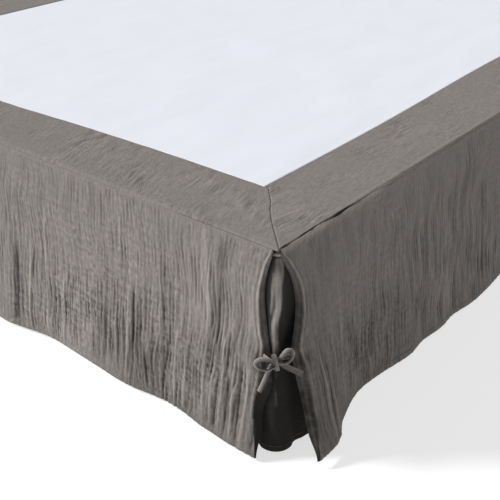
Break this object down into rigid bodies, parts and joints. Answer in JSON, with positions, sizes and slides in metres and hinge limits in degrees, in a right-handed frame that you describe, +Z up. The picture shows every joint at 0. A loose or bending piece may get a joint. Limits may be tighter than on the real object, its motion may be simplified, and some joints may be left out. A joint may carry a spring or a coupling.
{
  "type": "bed skirt on bed base",
  "caption": "Grey double-gauze bed skirt with a white platform sheet, wide mitred border, split foot corners and bow ties, on a plain legged bed base.",
  "frame": {"origin": "on the floor under the middle of the footprint, hems included", "axes": "+Z up, +X to the right seen from the foot, +Y from the foot to the head; the foot skirt faces -Y"},
  "size_m": [1.5547, 1.9429, 0.3503],
  "materials": {
    "grey_double_gauze": "crinkled matt cotton gauze",
    "white_cotton": "smooth matt cotton",
    "base_ticking": "plain woven ticking",
    "leg_wood": "satin"
  },
  "bodies": {
    "root": {"bed_base": "base_ticking", "leg_foot_left": "leg_wood", "leg_middle_left": "leg_wood", "leg_head_left": "leg_wood", "leg_foot_right": "leg_wood", "leg_middle_right": "leg_wood", "leg_head_right": "leg_wood", "platform_sheet": "white_cotton", "border_foot": "grey_double_gauze", "border_right": "grey_double_gauze", "border_left": "grey_double_gauze", "skirt_foot": "grey_double_gauze", "skirt_right": "grey_double_gauze", "skirt_left": "grey_double_gauze", "inset_right": "grey_double_gauze", "inset_left": "grey_double_gauze", "tie_foot_right": "grey_double_gauze", "tie_foot_left": "grey_double_gauze", "tie_side_right": "grey_double_gauze", "tie_side_left": "grey_double_gauze"}
  },
  "joints": []
}
